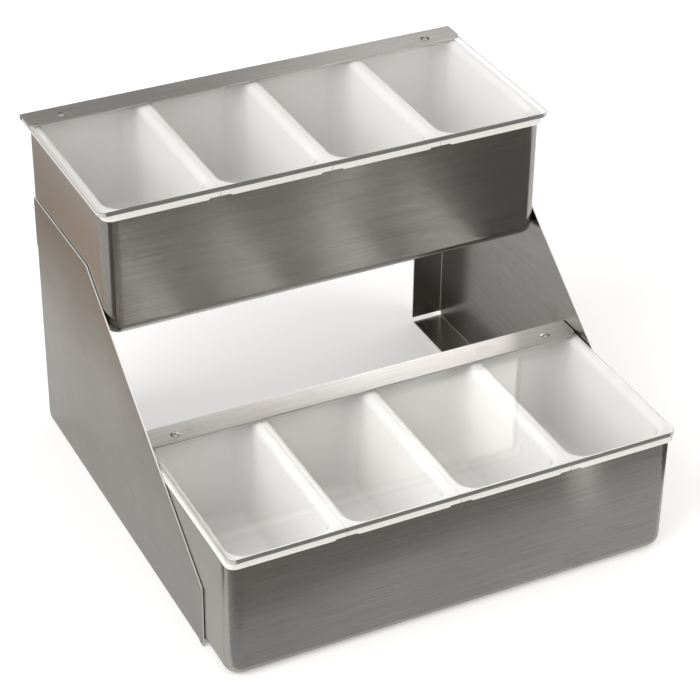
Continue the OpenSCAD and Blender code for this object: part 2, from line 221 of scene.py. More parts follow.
def slab(faces):
    """Mesh of a slab between two like faces, turned outwards."""
    bm = bmesh.new()
    loft(bm, faces)
    bmesh.ops.recalc_face_normals(bm, faces=bm.faces)
    return bm


def arc(radius, start, end, steps):
    """Points (along, up) on an arc about the origin, angles in degrees."""
    turns = (math.radians(start + (end - start) * i / steps) for i in range(steps + 1))
    return [(radius * math.cos(a), radius * math.sin(a)) for a in turns]


def lathe(bm, profile, turn, steps=32):
    """Skin of revolution of (radius, along) points about Z, then put in place by turn."""
    rings = [[turn @ Vector((r * math.cos(a), r * math.sin(a), z))
              for a in (2 * math.pi * i / steps for i in range(steps))] for r, z in profile]
    loft(bm, rings)


def placed(name, data):
    """New object of a mesh, lamp or camera, linked into the scene."""
    obj = bpy.data.objects.new(name, data)
    bpy.context.scene.collection.objects.link(obj)
    return obj


def soften(obj, width):
    """Rounds an object's sharp edges."""
    soft = obj.modifiers.new("Edge", "BEVEL")
    soft.width = width
    soft.segments = 2
    soft.limit_method = "ANGLE"
    soft.angle_limit = math.radians(50)


def settle(obj):
    """Turns an object's modifiers into plain mesh."""
    graph = bpy.context.evaluated_depsgraph_get()
    mesh = bpy.data.meshes.new_from_object(obj.evaluated_get(graph),
                                           preserve_all_data_layers=True, depsgraph=graph)
    mesh.name = obj.name
    obj.modifiers.clear()
    obj.data = mesh
    return obj


def piece_object(name, bm, sheet=0.0, edge=0.0, sharp=35):
    """Object of a mesh, given its sheet's thickness and soft cut edges.

    The cut edges of a sheet get the second of two materials.
    """
    bmesh.ops.remove_doubles(bm, verts=bm.verts, dist=WELD)
    mesh = bpy.data.meshes.new(name)
    bm.to_mesh(mesh)
    bm.free()
    obj = placed(name, mesh)
    if sheet:
        for _ in ("face", "cut"):
            mesh.materials.append(None)
        thick = obj.modifiers.new("Sheet", "SOLIDIFY")
        thick.thickness = sheet
        thick.offset = -1
        thick.use_even_offset = True
        thick.material_offset_rim = 1
    if edge:
        soften(obj, edge)
    if obj.modifiers:
        settle(obj)
    obj.data.polygons.foreach_set("use_smooth", [True] * len(obj.data.polygons))
    obj.data.set_sharp_from_angle(angle=math.radians(sharp))
    even = obj.modifiers.new("Even", "WEIGHTED_NORMAL")
    even.keep_sharp = True
    return settle(obj)


def dress(obj, material, body, slot, *nodes, cut=None):
    """Gives a finished piece its material and body, and hides the nodes it stands for.

    Cut is the material of its cut edges, where they have one of their own. Slot is not used.
    """
    kept = [face.material_index for face in obj.data.polygons]
    obj.data.materials.clear()
    obj.data.materials.append(material)
    if cut:
        obj.data.materials.append(cut)
        obj.data.polygons.foreach_set("material_index", kept)
    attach(obj, body)
    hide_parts(*nodes)


# ---- Materials ----

def node(tree, kind, inputs=None, **settings):
    """Adds a node; an input takes a value or another node's output."""
    made = tree.nodes.new(kind)
    for key, value in settings.items():
        setattr(made, key, value)
    for key, value in (inputs or {}).items():
        if isinstance(value, bpy.types.NodeSocket):
            tree.links.new(value, made.inputs[key])
        else:
            made.inputs[key].default_value = value
    return made


def maths(tree, operation, *values):
    return node(tree, "ShaderNodeMath", dict(enumerate(values)), operation=operation).outputs[0]


def blend_range(tree, fac, low, high, start=0.3, end=0.7):
    """Maps a factor between start and end to the range low to high."""
    ends = {0: fac, 1: start, 2: end, 3: low, 4: high}
    return node(tree, "ShaderNodeMapRange", ends).outputs[0]


def blend_colours(tree, fac, low, high, **settings):
    """Mixes two colours by a factor."""
    made = node(tree, "ShaderNodeMix", {0: fac, 6: low, 7: high}, data_type="RGBA", **settings)
    return made.outputs[2]


def tinted(rgb, gain):
    return tuple(min(1.0, c * gain) for c in rgb) + (1.0,)


def mottle(tree, fac, rgb, low, high):
    """One colour, made darker and lighter by a factor."""
    return blend_colours(tree, fac, tinted(rgb, low), tinted(rgb, high))


def grain_noise(tree, coords, scale, detail=2.0):
    """Noise from 0 to 1, at one scale or stretched by a scale per axis."""
    scale = scale if isinstance(scale, tuple) else (scale,) * 3
    mapped = node(tree, "ShaderNodeMapping", {"Vector": coords, "Scale": scale})
    noise = node(tree, "ShaderNodeTexNoise",
                 {"Vector": mapped.outputs[0], "Scale": 1.0, "Detail": detail, "Roughness": 0.6})
    return noise.outputs["Fac"]


def relief(tree, height, amount, distance=0.0002):
    """Normal of a fine relief."""
    inputs = {"Strength": amount, "Distance": distance, "Height": height}
    return node(tree, "ShaderNodeBump", inputs).outputs[0]


def empty_tree(holder):
    """Node tree of a material or a world, with nothing in it."""
    holder.use_nodes = True
    holder.node_tree.nodes.clear()
    return holder.node_tree


def new_material(name, build, *values):
    """Material with the shader that build makes from its tree and its piece's coordinates."""
    material = bpy.data.materials.new(name)
    tree = empty_tree(material)
    shader = build(tree, node(tree, "ShaderNodeTexCoord").outputs["Object"], *values)
    node(tree, "ShaderNodeOutputMaterial", {0: shader.outputs[0]})
    return material


def brushed_steel(tree, coords, rgb, roughness, grain, along="X", tangent="Z", stretch=0.65):
    """Brushed sheet steel: fine lines along one axis, soft mottling and rubbed patches."""

    def brushed(across, lengthwise, detail=2.0):
        scale = [across] * 3
        scale["XYZ".index(along)] = lengthwise
        return grain_noise(tree, coords, tuple(scale), detail)

    lines = maths(tree, "ADD", brushed(3200.0, 30.0), brushed(1300.0, 11.0, 3.0))
    clouds = grain_noise(tree, coords, 11.0, 3.0)
    smears = grain_noise(tree, coords, 38.0, 4.0)
    span, contrast = (0.75, 1.25), 0.3 * grain
    shade = mottle(tree, blend_range(tree, lines, 0, 1, *span), rgb, 1 - contrast, 1 + contrast)
    for patch, start, end, stain in ((clouds, 0.3, 0.7, (0.93, 0.91, 0.885, 1)),
                                     (smears, 0.62, 0.76, (0.86, 0.825, 0.8, 1))):
        shade = blend_colours(tree, blend_range(tree, patch, 0, 1, start, end), shade, stain,
                              blend_type="MULTIPLY")
    rough = maths(tree, "ADD", blend_range(tree, lines, -0.02 * grain, 0.02 * grain, *span),
                  blend_range(tree, clouds, roughness - 0.03, roughness + 0.03))
    way = node(tree, "ShaderNodeTangent", direction_type="RADIAL", axis=tangent)
    return node(tree, "ShaderNodeBsdfPrincipled", {
        "Base Color": shade, "Metallic": 1.0, "Roughness": rough,
        "Anisotropic": stretch, "Anisotropic Rotation": 0.25,
        "Normal": relief(tree, lines, 0.012 * grain), "Tangent": way.outputs[0]})


def bright_steel(tree, coords, rgb):
    """Drawn or headed steel with faint tool marks."""
    marks = grain_noise(tree, coords, 900.0)
    return node(tree, "ShaderNodeBsdfPrincipled", {
        "Base Color": mottle(tree, marks, rgb, 0.85, 1.15), "Metallic": 1.0,
        "Roughness": blend_range(tree, marks, 0.16, 0.26), "Normal": relief(tree, marks, 0.08)})


def ground_steel(tree, coords, rgb):
    """Sheared and ground steel edge: dull, with fine marks."""
    marks = grain_noise(tree, coords, 1400.0)
    return node(tree, "ShaderNodeBsdfPrincipled", {
        "Base Color": mottle(tree, marks, rgb, 0.85, 1.1), "Metallic": 0.3,
        "Roughness": blend_range(tree, marks, 0.42, 0.58)})


def white_plastic(tree, coords, rgb, roughness):
    """Moulded plastic: satin, with faint flow clouds and a fine moulded skin."""
    skin = grain_noise(tree, coords, 1500.0)
    flow = grain_noise(tree, coords, (22.0, 22.0, 40.0), 3.0)
    return node(tree, "ShaderNodeBsdfPrincipled", {
        "Base Color": mottle(tree, blend_range(tree, flow, 0, 1), rgb, 0.985, 1.0),
        "Roughness": blend_range(tree, flow, roughness - 0.02, roughness + 0.02),
        "IOR": PLASTIC_IOR, "Normal": relief(tree, skin, 0.05, 0.0001)})


def clear_plastic(tree, coords, rgb, haze):
    """Clear sheet with a little haze from wiping; lamp light passes through it."""
    wipes = grain_noise(tree, coords, (26.0, 60.0, 60.0), 4.0)
    sheet = node(tree, "ShaderNodeBsdfPrincipled", {
        "Base Color": rgb[:] + (1.0,), "Transmission Weight": 1.0, "IOR": PLASTIC_IOR,
        "Roughness": blend_range(tree, wipes, 0.3 * haze, 1.7 * haze)})
    through = node(tree, "ShaderNodeBsdfTransparent", {"Color": (0.943, 0.943, 0.94, 1)})
    shadow = node(tree, "ShaderNodeLightPath").outputs["Is Shadow Ray"]
    return node(tree, "ShaderNodeMixShader", {
        0: shadow, 1: sheet.outputs[0], 2: through.outputs[0]})


def sheet_edge_painted_light(tree, coords, front, end, reach):
    """Sawn edge of the clear sheet: satin, with faint saw marks across its thickness.

    Its front colour is painted shade. Past the reach from the sheet's middle, at its sides,
    it has the end's colour, a painted highlight.
    """
    marks = grain_noise(tree, coords, (260.0, 260.0, 900.0))
    across = node(tree, "ShaderNodeSeparateXYZ", {0: coords}).outputs["X"]
    highlit_sides = blend_range(tree, maths(tree, "ABSOLUTE", across), 0, 1, reach, reach + 0.001)
    # Painted shade on the front and a painted highlight on the sides, over the saw marks
    shaded_and_highlit = [mottle(tree, marks, rgb, 0.9, 1.1) for rgb in (front, end)]
    return node(tree, "ShaderNodeBsdfPrincipled", {
        "Base Color": blend_colours(tree, highlit_sides, *shaded_and_highlit),
        "Roughness": blend_range(tree, marks, 0.3, 0.45),
        "Transmission Weight": 0.2, "IOR": PLASTIC_IOR})


def floor_paper(tree, coords, rgb, lift, mirrored):
    """White paper, lifted where it is seen; mirrored is the share that polish shows."""
    fibre = grain_noise(tree, coords, 60.0, 4.0)
    paper = node(tree, "ShaderNodeBsdfPrincipled", {
        "Base Color": mottle(tree, fibre, rgb, 0.995, 1.0), "Roughness": 0.9,
        "Specular IOR Level": 0.1})
    path = node(tree, "ShaderNodeLightPath").outputs
    seen = maths(tree, "MAXIMUM", path["Is Camera Ray"], path["Is Transmission Ray"])
    seen = maths(tree, "MULTIPLY_ADD", path["Is Glossy Ray"], mirrored, seen)
    glow = node(tree, "ShaderNodeEmission", {"Strength": maths(tree, "MULTIPLY", seen, lift)})
    return node(tree, "ShaderNodeAddShader", {0: paper.outputs[0], 1: glow.outputs[0]})


def card_glow(tree, coords, rgb, level=1.0, fade=None, along="X"):
    """Even glow; with a fade, its ends fade along X or Y and only its face shows."""
    glow = node(tree, "ShaderNodeEmission", {"Color": rgb + (1,), "Strength": level})
    if not fade:
        return glow
    place = node(tree, "ShaderNodeSeparateXYZ", {0: coords}).outputs[along]
    ends = [blend_range(tree, place, low, high, start, end)
            for (start, end), low, high in zip(fade, (0, 1), (level, 0))]
    tree.links.new(maths(tree, "MULTIPLY", *ends), glow.inputs["Strength"])
    return node(tree, "ShaderNodeMixShader", {
        0: node(tree, "ShaderNodeNewGeometry").outputs["Backfacing"], 1: glow.outputs[0],
        2: node(tree, "ShaderNodeBsdfTransparent").outputs[0]})


def kept_material(name, build, *values):
    """A finish, built once and shared by the pieces; its name differs from the plain slot's."""
    name += "_finish"
    return bpy.data.materials.get(name) or new_material(name, build, *values)


def crosswise(x, y, z):
    """Places a turned piece at a point, with its axis across the caddy."""
    return Matrix.Translation((x, y, z)) @ Matrix.Rotation(math.pi / 2, 4, "Y")


def tier_pan(context, tier):
    """Outside width, and lowest and highest corners, of a tier's pan."""
    steel = context.scene.caddy_steel
    low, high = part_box(tier + "_pan")
    return high.x - low.x - 2 * (steel.side_gap - steel.side_ease), low, high


def hinge_axis(tier):
    """Centre of a tier's hinge rod as (y, z), and the rod's radius."""
    low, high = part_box(tier + "_hinge_rod")
    return (low.y + high.y) / 2, (low.z + high.z) / 2, (high.z - low.z) / 2


def bracket_places(tier):
    """X of each joint between a tier's inserts."""
    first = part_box(f"{tier}_insert_1")
    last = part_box(f"{tier}_insert_{INSERTS}")
    pitch = (last[0].x - first[0].x) / (INSERTS - 1)
    return [(k - INSERTS / 2) * pitch for k in range(1, INSERTS)]


# ---- Operators ----

class CADDY_OT_make_pans(bpy.types.Operator):
    """Builds the two drawn steel pans with their weld pads"""

    bl_idname = "caddy.make_pans"
    bl_label = "Make Pans"

    def execute(self, context):
        steel = context.scene.caddy_steel
        material = kept_material("pan_steel", brushed_steel, steel.pan_colour[:],
                                 steel.roughness, steel.grain)
        t, foot, corner = steel.sheet, steel.pan_foot, steel.pan_corner
        soft = t * 0.3
        for tier in TIERS:
            width, low, high = tier_pan(context, tier)
            depth, height = high.y - low.y, high.z - low.z
            middle = (0, (low.y + high.y) / 2)
            # Rings just off the rim and the foot keep the walls between them flat.
            below_rim, above_foot = height - 0.0012, foot + BESIDE
            profile = [(foot + 0.002, 0)]
            profile += [(foot - a, foot + b) for a, b in arc(foot, -90, 0, 8)]
            profile += [(0, above_foot), (0, below_rim), (0, height - soft), (soft, height),
                        (t - soft, height), (t, height - soft), (t, below_rim), (t, above_foot)]
            profile += [(foot - a, foot + b) for a, b in arc(foot - t, 0, -90, 8)]
            profile += [(foot + 0.0015, t)]
            bm = bmesh.new()
            loft(bm, [ring(width - 2 * inset, depth - 2 * inset, max(corner - inset, 2 * TINY),
                           low.z + z, middle, steps=12) for inset, z in profile])
            self.add_pads(bm, steel, tier, width, low, high)
            obj = piece_object(tier + "_pan_drawn", bm)
            dress(obj, material, ROOT_BODY, "pan_steel", tier + "_pan")
        return {"FINISHED"}

    @staticmethod
    def add_pads(bm, steel, tier, width, low, high):
        """Weld pads that fill the gap between a pan and the panels."""
        panel_low, panel_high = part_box("right_side_panel")
        pad = steel.weld_pad
        if tier == "upper":
            level = (panel_high.z + low.z + steel.pan_foot) / 2
            places = [(panel_high.y - y, level) for y in (2 * pad, steel.panel_top - pad)]
        else:
            rear = high.y - steel.pan_corner - pad
            front = panel_low.y + pad + steel.knee
            level = low.z + steel.pan_foot + pad
            places = [(rear, level), (rear, high.z - 2 * pad), (front, level)]
        half = (steel.side_gap - steel.side_ease) / 2
        for side in (-1, 1):
            for y, z in places:
                spot = crosswise(side * (width / 2 + half), y, z)
                lathe(bm, [(pad / 2, -half), (pad / 2, half)], spot, 24)


class CADDY_OT_make_panels(bpy.types.Operator):
    """Builds the two side panels, each bent from one sheet with two flanges"""

    bl_idname = "caddy.make_panels"
    bl_label = "Make Side Panels"

    def execute(self, context):
        steel = context.scene.caddy_steel
        material = kept_material("panel_steel", brushed_steel, steel.panel_colour[:],
                                 steel.roughness, steel.grain, "Y")
        cut = kept_material("cut_steel", ground_steel, steel.cut_colour[:])
        rear_flange_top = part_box("upper_pan")[0].z
        for name, side in (("left_side_panel", -1), ("right_side_panel", 1)):
            low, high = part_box(name)
            face = max(abs(low.x), abs(high.x))
            bm = bmesh.new()

            def add(points):
                corners = [bm.verts.new((side * x, y, z)) for x, y, z in points]
                bm.faces.new(corners if side > 0 else corners[::-1])

            add([(face, y, z) for y, z in self.outline(steel, low, high, rear_flange_top)])
            bend = [(b, steel.bend - a) for a, b in arc(steel.bend, 0, 90, 6)]
            run = [(y - steel.bend, x) for y, x in bend] + [(0, steel.flange)]
            for (out_a, in_a), (out_b, in_b) in zip(run, run[1:]):
                z0, z1 = steel.flange_lift, rear_flange_top
                ya, yb = high.y + out_a, high.y + out_b
                add([(face - in_a, ya, z0), (face - in_b, yb, z0),
                     (face - in_b, yb, z1), (face - in_a, ya, z1)])
                y0, y1 = low.y + steel.base_front, high.y - steel.base_inset
                add([(face - in_a, y0, -out_a), (face - in_b, y0, -out_b),
                     (face - in_b, y1, -out_b), (face - in_a, y1, -out_a)])
            obj = piece_object(name + "_bent", bm, sheet=steel.sheet, edge=steel.edge)
            dress(obj, material, ROOT_BODY, "panel_steel", name, cut=cut)
        return {"FINISHED"}

    @staticmethod
    def outline(steel, low, high, rear_flange_top):
        """Outline of a panel's flat side as (y, z), with the bends' places left out."""
        rear, front, top = high.y, low.y, high.z
        bend, knee, nose = steel.bend, steel.knee, steel.panel_nose
        crest = rear - steel.panel_top
        slope = math.atan2(top - nose, crest - front)
        cut_high, cut_low = (knee * math.tan(a / 2) for a in (slope, math.pi / 2 - slope))
        turn = 90 + math.degrees(slope)
        points = [(front, 0), (front + steel.base_front, 0), (front + steel.base_front, bend),
                  (rear - steel.base_inset, bend), (rear - bend, bend),
                  (rear - bend, steel.flange_lift), (rear - bend, rear_flange_top),
                  (rear, rear_flange_top), (rear, top)]
        for y, z, start, end in ((crest + cut_high, top - knee, 90, turn),
                                 (front + knee, nose - cut_low, turn, 180)):
            points += [(y + a, z + b) for a, b in arc(knee, start, end, 5)]
        return points


class CADDY_OT_make_inserts(bpy.types.Operator):
    """Builds the eight moulded inserts"""

    bl_idname = "caddy.make_inserts"
    bl_label = "Make Inserts"

    def execute(self, context):
        s = context.scene.caddy_inserts
        white = kept_material("white_plastic", white_plastic, s.tint[:], s.roughness)
        for tier in TIERS:
            for k in range(1, INSERTS + 1):
                name = f"{tier}_insert_{k}"
                bm = bmesh.new()
                ends = (k == INSERTS, k == 1, k == 1, k == INSERTS)
                loft(bm, self.rings(s, ends, *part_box(name)))
                obj = piece_object(name + "_moulded", bm)
                dress(obj, white, ROOT_BODY, "white_plastic", name)
        return {"FINISHED"}

    @staticmethod
    def tub_profile(foot_radius, draft, height, edge):
        """(reach from the corners' axes, height) up a drafted wall, foot to top."""
        lean = math.atan2(draft, height)
        reach = edge * (1 - math.sin(lean)) / math.cos(lean)
        centre = foot_radius + reach * math.sin(lean) - edge * math.cos(lean)
        points = [(centre - 0.0012, 0)]
        points += [(centre + a, edge + b) for a, b in arc(edge, -90, -math.degrees(lean), 9)]
        out, up = points[-1]
        points.append((out + BESIDE * math.sin(lean), up + BESIDE))
        return points, lambda z: foot_radius + draft * z / height

    def rings(self, s, ends, low, high):
        """Rings of one insert, from its underside round the rim to its inner floor.

        Ends says which of its corners lie over a corner of the pan.
        """
        centre = ((low.x + high.x) / 2, (low.y + high.y) / 2)
        rim_w, rim_d = high.x - low.x, high.y - low.y
        height = high.z - low.z
        to_axis = s.rim_land + s.tub_corner - s.wall + s.draft
        half_x, half_y = rim_w / 2 - to_axis, rim_d / 2 - to_axis

        def tub(reach, z):
            return ring(2 * (half_x + reach), 2 * (half_y + reach), max(reach, TINY), low.z + z,
                        centre, ramp=s.lip_ramp)

        def rim(inset_x, inset_y, z, drop=0.0):
            radii = tuple(max((s.rim_corner if end else s.rim_meet) - max(inset_x, inset_y), TINY)
                          for end in ends)
            return ring(rim_w - 2 * inset_x, rim_d - 2 * inset_y, radii, high.z + z, centre,
                        hold=s.lip_start, ramp=s.lip_ramp, drop=drop, corner_drops=ends)

        outside, wall_out = self.tub_profile(s.tub_corner, s.draft, height - s.rim_top / 2,
                                             s.tub_foot)
        inside, wall_in = self.tub_profile(s.tub_corner - s.wall, s.draft, height - s.wall,
                                           s.tub_foot - s.wall)
        under, bottom = height - s.rim_top, -s.rim_height
        rings = [tub(r, z) for r, z in outside]
        rings += [tub(wall_out(under - 0.001), under - 0.001), tub(wall_out(under), under),
                  tub(wall_out(under) + BESIDE, under), rim(s.side_lip, s.lip, -s.rim_top)]
        rings += [rim(x, y, z, s.lip_drop) for x, y, z in (
            (s.side_lip, s.lip, bottom + TINY), (s.side_lip - TINY, s.lip - TINY, bottom),
            (TINY, TINY, bottom), (0, 0, bottom + TINY))]
        rings += [rim(0, 0, -s.rounding - 2 * TINY)]
        rings += [rim(s.rounding - a, s.rounding - a, b - s.rounding)
                  for a, b in arc(s.rounding, 0, 90, 5)]
        land, mouth = s.rounding + 0.0003, wall_in(height - s.wall) + s.mouth
        rings += [rim(land, land, 0), tub(mouth + 0.0003, height)]
        rings += [tub(mouth + a, height - s.mouth + b) for a, b in arc(s.mouth, 90, 180, 6)]
        below = height - s.mouth - 0.0006
        rings += [tub(wall_in(below - s.wall), below)]
        rings += [tub(r, z + s.wall) for r, z in reversed(inside)]
        return rings


class CADDY_OT_make_sheets(bpy.types.Operator):
    """Builds the two clear lid sheets"""

    bl_idname = "caddy.make_sheets"
    bl_label = "Make Clear Sheets"

    def execute(self, context):
        s = context.scene.caddy_lids
        clear = kept_material("clear_plastic", clear_plastic, s.clear[:], s.haze)
        e = s.sheet_edge
        for tier in TIERS:
            low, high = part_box(tier + "_lid_sheet")
            # Its edge gets painted shade at the front and a painted highlight at the sides
            cut = kept_material(tier + "_cut_edge", sheet_edge_painted_light, s.cut[:], s.side_edge_highlight[:],
                                high.x - s.sheet_corner)
            turns = [(e - a, e - b) for a, b in arc(e, 0, 90, 3)]
            profile = [(into, low.z + rise) for into, rise in reversed(turns)]
            profile += [(into, high.z - rise) for into, rise in turns]
            bm = bmesh.new()
            loft(bm, [self.outline(s, low, high, inset, z) for inset, z in profile])
            obj = piece_object(tier + "_lid_sheet_clear", bm)
            for face in obj.data.polygons:
                face.material_index = int(abs(face.normal.z) < 0.5)
            dress(obj, clear, tier + "_lid", "clear_plastic", tier + "_lid_sheet", cut=cut)
        return {"FINISHED"}

    @staticmethod
    def outline(s, low, high, inset, z):
        """Sheet's outline, drawn in by an inset: round front corners, square rear ones."""
        x0, x1 = low.x + inset, high.x - inset
        y0, y1 = low.y + inset, high.y - inset
        r, tiny = s.sheet_corner - inset, 0.0003
        corners = ((x1 - tiny, y1 - tiny, tiny, 0), (x0 + tiny, y1 - tiny, tiny, 90),
                   (x0 + r, y0 + r, r, 180), (x1 - r, y0 + r, r, 270))
        return [(x + a, y + b, z) for x, y, radius, start in corners
                for a, b in arc(radius, start, start + 90, 10)]


class CADDY_OT_make_strips(bpy.types.Operator):
    """Builds the two hinge strips, each rolled round its rod at the rear"""

    bl_idname = "caddy.make_strips"
    bl_label = "Make Hinge Strips"

    roll_end: number("Roll end", "Angle where the roll ends", -170, IntProperty)
    slot_end: number("Slot end", "Angle where a slot starts", 39, IntProperty)

    def execute(self, context):
        s, steel = context.scene.caddy_lids, context.scene.caddy_steel
        material = kept_material("strip_steel", brushed_steel, steel.strip_colour[:],
                                 steel.strip_roughness, steel.grain, "X", "Y", 0.8)
        for tier in TIERS:
            low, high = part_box(tier + "_lid_strip")
            axis_y, axis_z, rod = hinge_axis(tier)
            inner = rod + s.roll_gap
            outer = inner + s.strip
            slot = s.bracket / 2 + s.slot_gap
            cuts = [x + d for x in bracket_places(tier) for d in (-slot, slot)]
            half = (high.x - low.x) / 2
            turns = [s.strip_corner * (1 - math.cos(math.radians(a))) for a in range(0, 91, 15)]
            xs = sorted([-half + d for d in turns] + [half - d for d in turns] + cuts)
            angles = list(range(90, self.slot_end, -17)) + [self.slot_end]
            cut_index = 3 + len(angles) - 1
            angles += list(range(self.slot_end - 19, self.roll_end, -19)) + [self.roll_end]

            def section(x):
                """Outer and inner points of the bent strip at one place along it."""
                into = max(0.0, s.strip_corner - (half - abs(x)))
                back = s.strip_corner - math.sqrt(max(0.0, s.strip_corner ** 2 - into ** 2))
                front = low.y + back - axis_y
                flat = [front, front + 0.0006, -0.0006]
                rows = [((y, outer), (y, inner)) for y in flat]
                for a in angles:
                    c, d = math.cos(math.radians(a)), math.sin(math.radians(a))
                    rows.append(((outer * c, outer * d), (inner * c, inner * d)))
                return rows

            bm = bmesh.new()
            grid = [[[bm.verts.new((x, axis_y + y, axis_z + z)) for y, z in pair]
                     for pair in section(x)] for x in xs]
            last = len(grid[0]) - 1

            def reach(j):
                """Last row present between station j and the next, or 0 outside the strip."""
                if not 0 <= j < len(xs) - 1:
                    return 0
                middle = (xs[j] + xs[j + 1]) / 2
                inside = any(abs(middle - x) < slot for x in bracket_places(tier))
                return cut_index if inside else last

            for j in range(len(xs)):
                here, before = reach(j), reach(j - 1)
                for i in range(min(here, before), max(here, before)):
                    (a, b), (c, d) = grid[j][i], grid[j][i + 1]
                    bm.faces.new((a, c, d, b))
                if not here:
                    continue
                one, two = grid[j], grid[j + 1]
                for i in range(here):
                    bm.faces.new((one[i][0], two[i][0], two[i + 1][0], one[i + 1][0]))
                    bm.faces.new((one[i + 1][1], two[i + 1][1], two[i][1], one[i][1]))
                for i in (0, here):
                    bm.faces.new((one[i][0], two[i][0], two[i][1], one[i][1]))
            bmesh.ops.remove_doubles(bm, verts=bm.verts, dist=WELD)
            bmesh.ops.recalc_face_normals(bm, faces=bm.faces)
            obj = piece_object(tier + "_lid_strip_rolled", bm, edge=0.00012)
            dress(obj, material, tier + "_lid", "strip_steel", tier + "_lid_strip")
        return {"FINISHED"}


def row_tree():
    """Geometry Nodes tree that repeats a piece in a row and makes it real."""
    tree = bpy.data.node_groups.get("row_of_pieces")
    if tree:
        return tree
    tree = bpy.data.node_groups.new("row_of_pieces", "GeometryNodeTree")
    for name, kind in (("Geometry", "Geometry"), ("Piece", "Object"), ("Count", "Int"),
                       ("First", "Vector"), ("Step", "Vector"), ("Finish", "Material")):
        tree.interface.new_socket(name, in_out="INPUT", socket_type="NodeSocket" + kind)
    tree.interface.new_socket("Geometry", in_out="OUTPUT", socket_type="NodeSocketGeometry")
    given = node(tree, "NodeGroupInput").outputs
    row = node(tree, "GeometryNodeMeshLine", {
        "Count": given["Count"], "Start Location": given["First"], "Offset": given["Step"]})
    source = node(tree, "GeometryNodeObjectInfo", {"Object": given["Piece"]})
    copies = node(tree, "GeometryNodeInstanceOnPoints", {
        "Points": row.outputs[0], "Instance": source.outputs["Geometry"]})
    real = node(tree, "GeometryNodeRealizeInstances", {0: copies.outputs[0]})
    finish = node(tree, "GeometryNodeSetMaterial", {
        "Geometry": real.outputs[0], "Material": given["Finish"]})
    node(tree, "NodeGroupOutput", {0: finish.outputs[0]})
    return tree


def row_of(name, source, count, first, step, material):
    """Object with a source piece repeated in a row; the source is then removed."""
    obj = placed(name, bpy.data.meshes.new(name))
    tree = row_tree()
    wanted = {"Piece": source, "Count": count, "First": first, "Step": step, "Finish": material}
    modifier = obj.modifiers.new("Row", "NODES")
    modifier.node_group = tree
    for item in tree.interface.items_tree:
        if item.item_type == "SOCKET" and item.in_out == "INPUT" and item.name in wanted:
            modifier[item.identifier] = wanted[item.name]
    settle(obj)
    bpy.data.objects.remove(source)
    return obj


class CADDY_OT_make_hinges(bpy.types.Operator):
    """Builds the hinge rods and the brackets that hold them"""

    bl_idname = "caddy.make_hinges"
    bl_label = "Make Hinge Rods and Brackets"

    def execute(self, context):
        s = context.scene.caddy_lids
        material = kept_material("hinge_steel", bright_steel,
                                 context.scene.caddy_steel.bright_colour[:])
        for tier in TIERS:
            low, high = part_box(tier + "_hinge_rod")
            axis_y, axis_z, rod = hinge_axis(tier)
            half, soft = (high.x - low.x) / 2, rod * 0.25
            bm = bmesh.new()
            lathe(bm, [(rod - soft, -half), (rod, soft - half), (rod, half - soft),
                       (rod - soft, half)], crosswise(0, axis_y, axis_z))
            obj = piece_object(tier + "_hinge_rod_drawn", bm, sharp=50)
            dress(obj, material, ROOT_BODY, "hinge_steel", tier + "_hinge_rod")
            source = self.bracket(s, tier, axis_y, axis_z, rod)
            xs = bracket_places(tier)
            row = row_of(tier + "_hinge_brackets_bent", source, len(xs), (xs[0], axis_y, axis_z),
                         (xs[1] - xs[0], 0, 0), material)
            dress(row, material, ROOT_BODY, "hinge_steel", tier + "_hinge_brackets")
        return {"FINISHED"}

    @staticmethod
    def bracket(s, tier, axis_y, axis_z, rod):
        """One bracket about the hinge axis: a cradle on an arm, and a foot on the pan."""
        low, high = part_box(tier + "_hinge_brackets")
        pan_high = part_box(tier + "_pan")[1]
        wall, edge = pan_high.y - axis_y, pan_high.z - axis_z
        out, foot = high.y - axis_y, low.z - axis_z
        foot_top = foot + s.bracket_foot
        cradle = rod * 2
        outline = arc(cradle, 160, 240, 6)
        outline += [(-rod, edge + 0.0015), (wall, edge + 0.0004), (wall, foot), (out, foot),
                    (out, foot_top), (cradle, edge + 0.00075), (0.00067, -0.00225)]
        outline += arc(cradle, 285, 290, 1) + arc(rod, 290, 160, 9)
        thick = s.bracket / 2
        across, outer = s.bracket_foot - thick, wall + s.bracket
        plate_outline = ((across, outer), (0, outer), (0, wall), (across, wall))
        ear, plate = (piece_object("bracket_" + name, solid) for name, solid in (
            ("ear", slab([[(x, y, z) for y, z in outline] for x in (-thick, thick)])),
            ("plate", slab([[(x, y, z) for x, y in plate_outline] for z in (foot, foot_top)]))))
        join = ear.modifiers.new("Join", "BOOLEAN")
        join.operation = "UNION"
        join.object = plate
        soften(ear, 0.00015)
        settle(ear)
        bpy.data.objects.remove(plate)
        return ear


